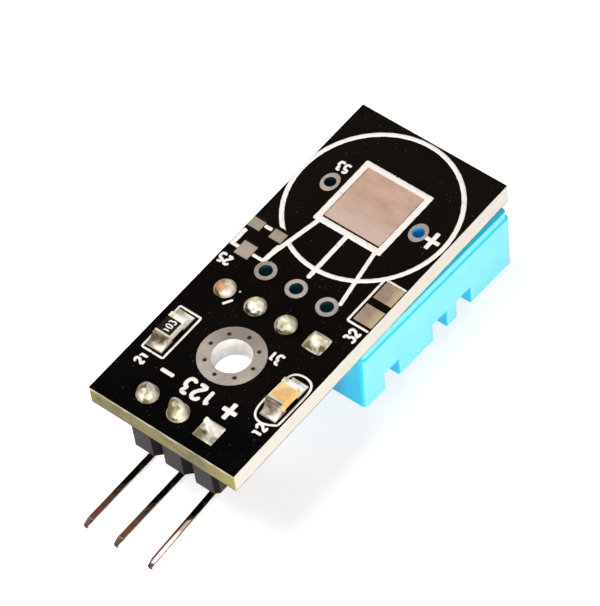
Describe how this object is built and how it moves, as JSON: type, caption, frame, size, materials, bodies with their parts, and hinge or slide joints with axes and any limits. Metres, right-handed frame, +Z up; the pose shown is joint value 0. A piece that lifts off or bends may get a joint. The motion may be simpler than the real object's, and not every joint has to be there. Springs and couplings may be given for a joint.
{
  "type": "temperature humidity sensor module",
  "caption": "Small circuit board with a blue slotted sensor under one end, a bent pin header at the other, a screw hole and soldered chip parts.",
  "frame": {"origin": "under the middle of the whole module, at the height of its lowest point, the far edge of the sensor's slotted front", "axes": "+Y along the board from the pin header to the sensor, +Z up out of the board's soldered face, +X across the board towards the capacitor"},
  "size_m": [0.012, 0.0336, 0.0096],
  "materials": {
    "board": "gloss",
    "tinned_copper": "satin",
    "bare_copper": "satin",
    "solder": "gloss",
    "tinned_cap": "satin",
    "pin_metal": "gloss",
    "lead_metal": "satin",
    "header_plastic": "matte",
    "blue_plastic": "satin",
    "inner_board": "satin",
    "sensing_ceramic": "matte",
    "thermistor": "satin",
    "moulded_black": "matte",
    "resistor_body": "satin",
    "capacitor_body": "satin"
  },
  "bodies": {
    "root": {"bare_square": "bare_copper", "capacitor_body": "capacitor_body", "capacitor_far_cap": "tinned_cap", "capacitor_far_pad": "tinned_copper", "capacitor_far_solder": "solder", "capacitor_near_cap": "tinned_cap", "capacitor_near_pad": "tinned_copper", "capacitor_near_solder": "solder", "circuit_board": "board", "duo_pad_far": "tinned_copper", "duo_pad_near": "tinned_copper", "header_pad_left": "tinned_copper", "header_pad_middle": "tinned_copper", "header_pad_right": "tinned_copper", "header_pin_left": "pin_metal", "header_pin_middle": "pin_metal", "header_pin_right": "pin_metal", "header_solder_left": "solder", "header_solder_middle": "solder", "header_solder_right": "solder", "header_strip": "header_plastic", "humidity_plate": "sensing_ceramic", "oval_spare_hole_left": "tinned_copper", "oval_spare_hole_right": "tinned_copper", "resistor_body": "resistor_body", "resistor_far_cap": "tinned_cap", "resistor_far_pad": "tinned_copper", "resistor_far_solder": "solder", "resistor_near_cap": "tinned_cap", "resistor_near_pad": "tinned_copper", "resistor_near_solder": "solder", "screw_ring": "tinned_copper", "sensor_cover": "blue_plastic", "sensor_inner_board": "inner_board", "sensor_lead_1": "lead_metal", "sensor_lead_2": "lead_metal", "sensor_lead_3": "lead_metal", "sensor_lead_4": "lead_metal", "sensor_pad_1": "tinned_copper", "sensor_pad_2": "tinned_copper", "sensor_pad_3": "tinned_copper", "sensor_pad_4": "tinned_copper", "sensor_shell": "blue_plastic", "sensor_solder_1": "solder", "sensor_solder_2": "solder", "sensor_solder_3": "solder", "sensor_solder_4": "solder", "signal_chip": "moulded_black", "spare_hole_left": "tinned_copper", "spare_hole_middle": "tinned_copper", "spare_hole_right": "tinned_copper", "thermistor": "thermistor", "trio_pad_inner": "tinned_copper", "trio_pad_lone": "tinned_copper", "trio_pad_outer": "tinned_copper"}
  },
  "joints": []
}
